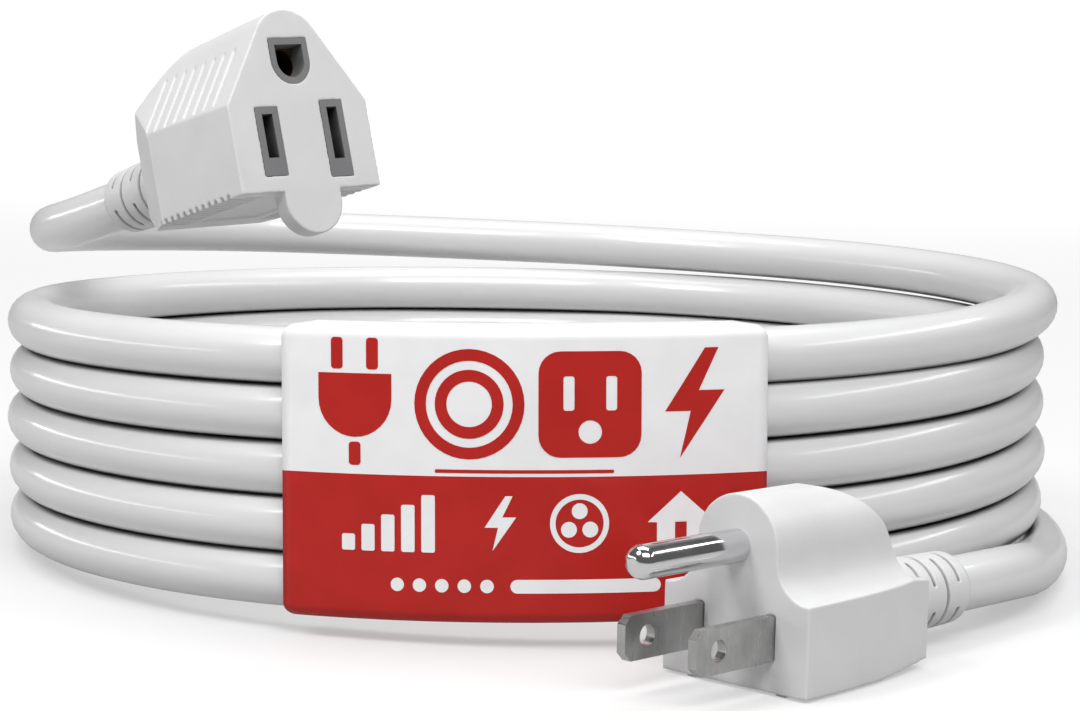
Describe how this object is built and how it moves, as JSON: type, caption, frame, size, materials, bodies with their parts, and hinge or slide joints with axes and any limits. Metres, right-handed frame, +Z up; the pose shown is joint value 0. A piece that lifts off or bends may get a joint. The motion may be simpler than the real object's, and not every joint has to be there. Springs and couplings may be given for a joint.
{
  "type": "extension cord",
  "caption": "Coiled white grounded extension cord with a moulded three-pin plug, a three-slot connector and a printed sleeve round the coil.",
  "frame": {"origin": "on the floor, at the centre of the coil", "axes": "+Z up along the coil's axis, -Y towards the plug and the label, +X to the right seen from there"},
  "size_m": [0.1888, 0.2236, 0.0923],
  "materials": {
    "cord_jacket": "gloss",
    "white_overmould": "satin",
    "white_relief": "satin",
    "inner_moulding": "matt",
    "grey_insert": "matt",
    "nickel_blade": "brushed nickel",
    "bright_pin": "bright",
    "contact_brass": "satin",
    "black_core": "satin",
    "white_core": "satin",
    "green_core": "satin",
    "copper_strand": "bright",
    "printed_label": "semi-gloss print"
  },
  "bodies": {
    "cord_set": {"cord_coil": "cord_jacket", "connector_tail": "cord_jacket", "plug_tail": "cord_jacket", "connector_jacket_end": "cord_jacket", "plug_jacket_end": "cord_jacket", "plug_body": "white_overmould", "plug_bridge": "inner_moulding", "plug_strain_relief": "white_relief", "plug_line_blade": "nickel_blade", "plug_neutral_blade": "nickel_blade", "plug_ground_pin": "bright_pin", "connector_body": "white_overmould", "connector_insert": "grey_insert", "connector_strain_relief": "white_relief", "connector_line_contact": "contact_brass", "connector_neutral_contact": "contact_brass", "connector_ground_contact": "contact_brass", "plug_line_core": "black_core", "plug_line_strands": "copper_strand", "plug_neutral_core": "white_core", "plug_neutral_strands": "copper_strand", "plug_ground_core": "green_core", "plug_ground_strands": "copper_strand", "connector_line_core": "black_core", "connector_line_strands": "copper_strand", "connector_neutral_core": "white_core", "connector_neutral_strands": "copper_strand", "connector_ground_core": "green_core", "connector_ground_strands": "copper_strand"},
    "label": {"label_band": "printed_label"}
  },
  "joints": [
    {"name": "label_slide_round_coil", "type": "hinge", "parent": "cord_set", "child": "label", "pos_m": [0, 0, 0.00269], "axis": [-0.0221, 0.0221, 0.9995], "range_deg": [-45, 18]}
  ]
}
